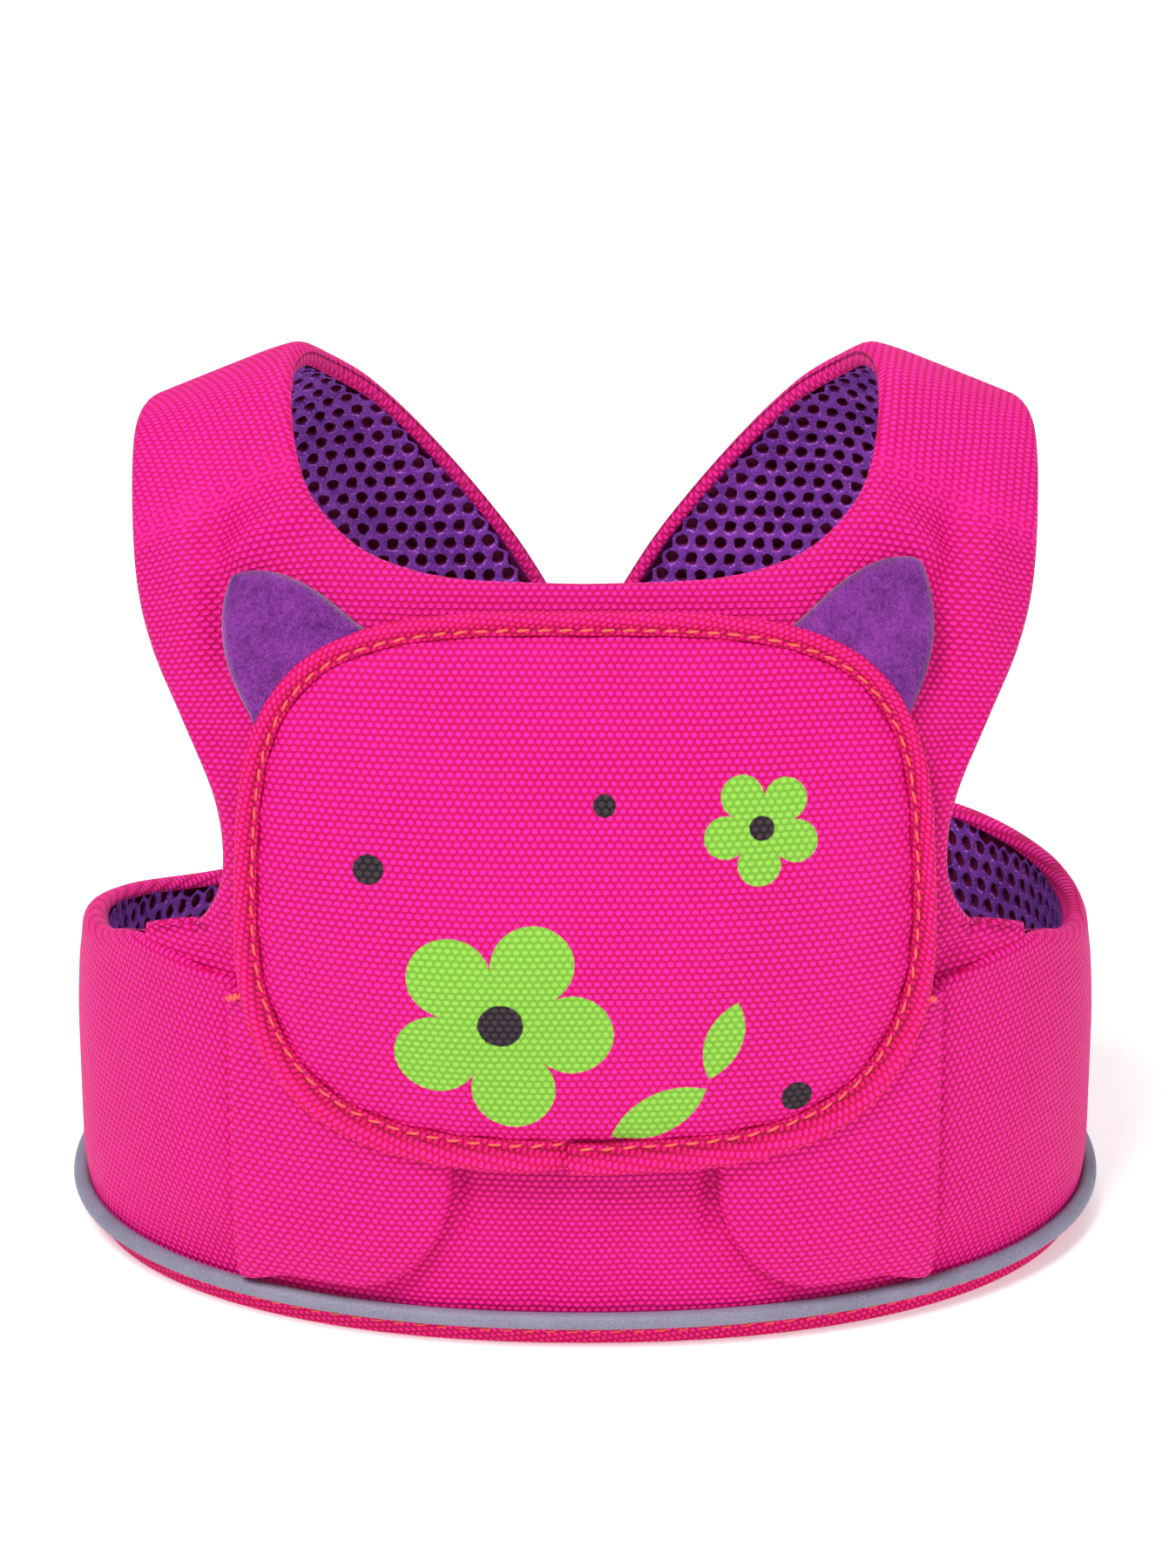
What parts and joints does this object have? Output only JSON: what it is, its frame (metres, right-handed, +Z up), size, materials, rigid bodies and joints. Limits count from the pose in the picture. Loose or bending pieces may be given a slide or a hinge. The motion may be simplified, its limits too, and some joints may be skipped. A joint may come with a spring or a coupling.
{
  "type": "toddler harness backpack",
  "caption": "Padded harness for a small child: a bib with wide shoulder straps, belt wings that fasten behind, and a rounded, bound panel in front.",
  "frame": {"origin": "on the floor under the middle of the whole, with the hem standing on the floor", "axes": "+Z up towards the shoulder straps, the wearer looks along -Y, and +X is the wearer's left"},
  "size_m": [0.2314, 0.1592, 0.2016],
  "materials": {
    "pink_weave": "matte oxford weave",
    "pink_tape": "matte ribbed tape",
    "purple_mesh": "open spacer mesh",
    "purple_facing": "smooth weave",
    "purple_plush": "short pile",
    "purple_webbing": "woven webbing",
    "grey_reflective": "fine reflective grain",
    "purple_plastic": "satin"
  },
  "bodies": {
    "root": {"front_shell": "pink_weave", "front_lining": "purple_mesh", "belt_wing_left": "pink_weave", "belt_wing_right": "pink_weave", "belt_lining_left": "purple_mesh", "belt_lining_right": "purple_mesh", "belt_facing_left": "purple_facing", "belt_facing_right": "purple_facing", "paw_left": "pink_weave", "paw_right": "pink_weave", "ear_left": "purple_plush", "ear_right": "purple_plush", "front_panel": "pink_weave", "panel_binding": "pink_tape", "hem_binding": "pink_tape", "reflective_piping": "grey_reflective", "back_yoke": "pink_weave", "yoke_lining": "purple_mesh", "yoke_webbing": "purple_webbing", "belt_webbing_left": "purple_webbing", "belt_webbing_right": "purple_webbing", "clasp": "purple_plastic"}
  },
  "joints": []
}
